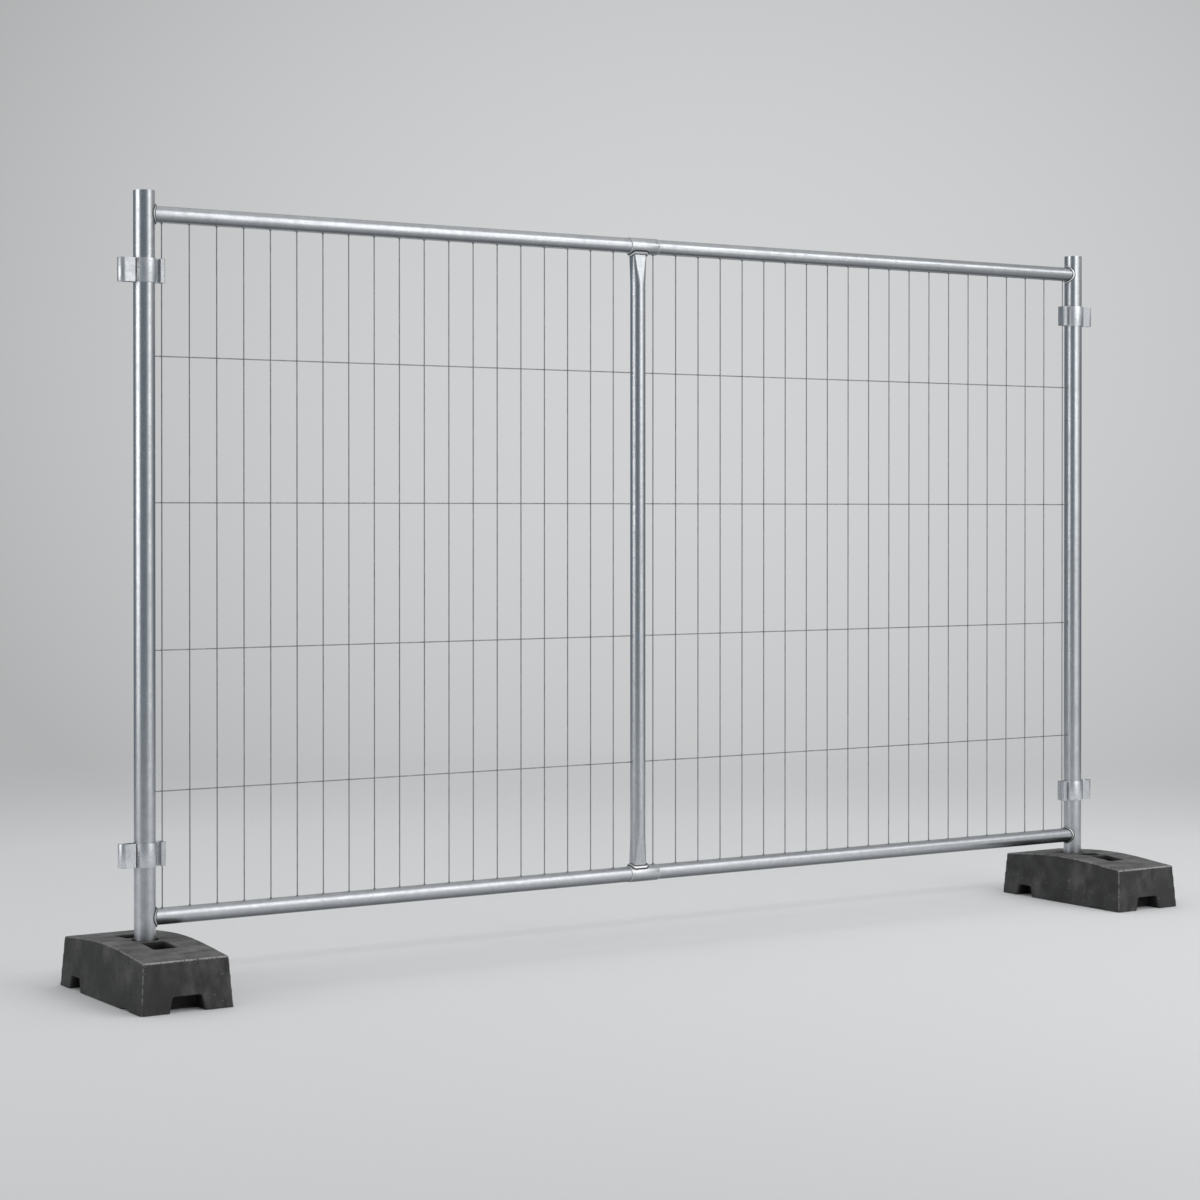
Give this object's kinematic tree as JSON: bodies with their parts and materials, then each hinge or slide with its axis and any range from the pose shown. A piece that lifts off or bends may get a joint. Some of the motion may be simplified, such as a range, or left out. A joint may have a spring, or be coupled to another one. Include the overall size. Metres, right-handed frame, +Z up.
{
  "type": "temporary fence panel",
  "caption": "Welded tube fence panel with a thin wire mesh, pressed coupling clips on its posts and heavy moulded rubber feet that it stands in.",
  "frame": {"origin": "on the floor, on the axis of the left post, under the middle of the left foot", "axes": "+X along the panel towards the right post seen from the front, -Y to the front, +Z up"},
  "size_m": [3.358, 0.589, 2.001],
  "materials": {
    "galvanised_tube": "hot-dip galvanised, satin, faintly mottled",
    "mesh_wire": "galvanised wire, dull grey",
    "weld_bead": "galvanised over the weld, slightly lumpy",
    "clip_sheet": "galvanised pressed sheet, satin",
    "fastener_zinc": "zinc plated",
    "foot_rubber": "moulded recycled rubber, matt, with worn edges"
  },
  "bodies": {
    "frame": {"left_post": "galvanised_tube", "right_post": "galvanised_tube", "top_rail": "galvanised_tube", "bottom_rail": "galvanised_tube", "top_sleeve": "galvanised_tube", "bottom_sleeve": "galvanised_tube", "centre_bar": "galvanised_tube", "left_bay_uprights": "mesh_wire", "left_bay_crosswires": "mesh_wire", "right_bay_uprights": "mesh_wire", "right_bay_crosswires": "mesh_wire", "rail_welds": "weld_bead", "bar_welds": "weld_bead"},
    "left_foot": {"left_foot": "foot_rubber"},
    "right_foot": {"right_foot": "foot_rubber"},
    "upper_left_front": {"upper_left_front_shell": "clip_sheet", "upper_left_weld_nut": "fastener_zinc"},
    "upper_left_rear": {"upper_left_rear_shell": "clip_sheet", "upper_left_washer": "fastener_zinc"},
    "upper_left_bolt": {"upper_left_bolt": "fastener_zinc"},
    "lower_left_front": {"lower_left_front_shell": "clip_sheet", "lower_left_weld_nut": "fastener_zinc"},
    "lower_left_rear": {"lower_left_rear_shell": "clip_sheet", "lower_left_washer": "fastener_zinc"},
    "lower_left_bolt": {"lower_left_bolt": "fastener_zinc"},
    "upper_right_front": {"upper_right_front_shell": "clip_sheet", "upper_right_weld_nut": "fastener_zinc"},
    "upper_right_rear": {"upper_right_rear_shell": "clip_sheet", "upper_right_washer": "fastener_zinc"},
    "upper_right_bolt": {"upper_right_bolt": "fastener_zinc"},
    "lower_right_front": {"lower_right_front_shell": "clip_sheet", "lower_right_weld_nut": "fastener_zinc"},
    "lower_right_rear": {"lower_right_rear_shell": "clip_sheet", "lower_right_washer": "fastener_zinc"},
    "lower_right_bolt": {"lower_right_bolt": "fastener_zinc"}
  },
  "joints": [
    {"name": "left_foot_swivel", "type": "hinge", "parent": "frame", "child": "left_foot", "pos_m": [0, 0, 0.02], "axis": [0, 0, 1], "continuous": true},
    {"name": "right_foot_swivel", "type": "hinge", "parent": "frame", "child": "right_foot", "pos_m": [3.116, 0, 0.02], "axis": [0, 0, 1], "continuous": true},
    {"name": "upper_left_slide", "type": "slide", "parent": "frame", "child": "upper_left_front", "axis": [0, 0, 1], "range_m": [-0.174, 0.081]},
    {"name": "upper_left_release", "type": "slide", "parent": "upper_left_front", "child": "upper_left_rear", "axis": [0, 1, 0], "range_m": [0, 0.00625]},
    {"name": "upper_left_bolt_turn", "type": "hinge", "parent": "upper_left_rear", "child": "upper_left_bolt", "pos_m": [-0.04249, 0, 1.803], "axis": [0, 1, 0], "range_deg": [0, 1800]},
    {"name": "lower_left_slide", "type": "slide", "parent": "frame", "child": "lower_left_front", "axis": [0, 0, 1], "range_m": [-0.096, 0.119]},
    {"name": "lower_left_release", "type": "slide", "parent": "lower_left_front", "child": "lower_left_rear", "axis": [0, 1, 0], "range_m": [0, 0.00625]},
    {"name": "lower_left_bolt_turn", "type": "hinge", "parent": "lower_left_rear", "child": "lower_left_bolt", "pos_m": [-0.04249, 0, 0.351], "axis": [0, 1, 0], "range_deg": [0, 1800]},
    {"name": "upper_right_slide", "type": "slide", "parent": "frame", "child": "upper_right_front", "axis": [0, 0, 1], "range_m": [-0.185, 0.07]},
    {"name": "upper_right_release", "type": "slide", "parent": "upper_right_front", "child": "upper_right_rear", "axis": [0, 1, 0], "range_m": [0, 0.00625]},
    {"name": "upper_right_bolt_turn", "type": "hinge", "parent": "upper_right_rear", "child": "upper_right_bolt", "pos_m": [3.15849, 0, 1.814], "axis": [0, 1, 0], "range_deg": [0, 1800]},
    {"name": "lower_right_slide", "type": "slide", "parent": "frame", "child": "lower_right_front", "axis": [0, 0, 1], "range_m": [-0.078, 0.137]},
    {"name": "lower_right_release", "type": "slide", "parent": "lower_right_front", "child": "lower_right_rear", "axis": [0, 1, 0], "range_m": [0, 0.00625]},
    {"name": "lower_right_bolt_turn", "type": "hinge", "parent": "lower_right_rear", "child": "lower_right_bolt", "pos_m": [3.15849, 0, 0.333], "axis": [0, 1, 0], "range_deg": [0, 1800]}
  ],
  "couplings": [
    {"joint": "upper_left_bolt_turn", "follows": "upper_left_release", "rad_per_m": 5026.5},
    {"joint": "lower_left_bolt_turn", "follows": "lower_left_release", "rad_per_m": 5026.5},
    {"joint": "upper_right_bolt_turn", "follows": "upper_right_release", "rad_per_m": 5026.5},
    {"joint": "lower_right_bolt_turn", "follows": "lower_right_release", "rad_per_m": 5026.5}
  ]
}
